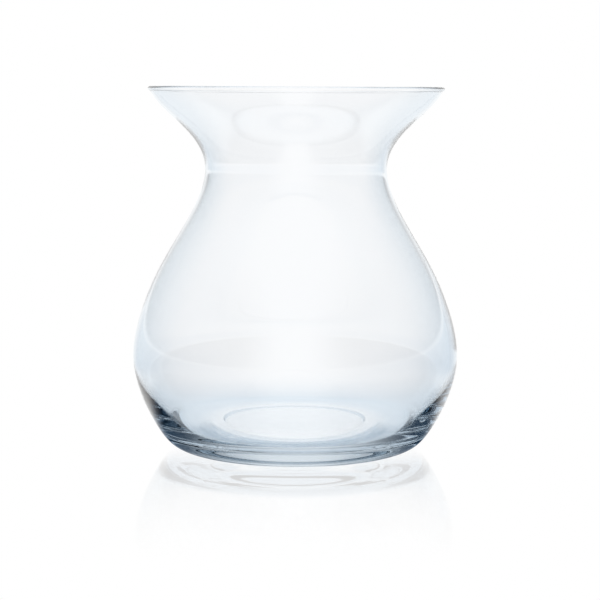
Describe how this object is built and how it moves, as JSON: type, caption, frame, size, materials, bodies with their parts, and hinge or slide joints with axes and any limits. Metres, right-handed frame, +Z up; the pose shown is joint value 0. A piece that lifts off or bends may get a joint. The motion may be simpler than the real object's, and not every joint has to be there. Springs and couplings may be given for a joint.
{
  "type": "hyacinth forcing vase",
  "caption": "Clear blown-glass forcing vase: a squat pear-shaped bowl for water and roots, a narrow throat that seats the bulb, and a flared cup above it.",
  "frame": {"origin": "middle of the standing ring, on the surface that the vase stands on", "axes": "+Z up along the axis that the vase is round about, from the foot to the mouth"},
  "size_m": [0.1082, 0.1082, 0.12],
  "materials": {
    "glass": "clear soda-lime glass, fire-polished, with a faint blue tint"
  },
  "bodies": {
    "root": {"glass_vase": "glass"}
  },
  "joints": []
}
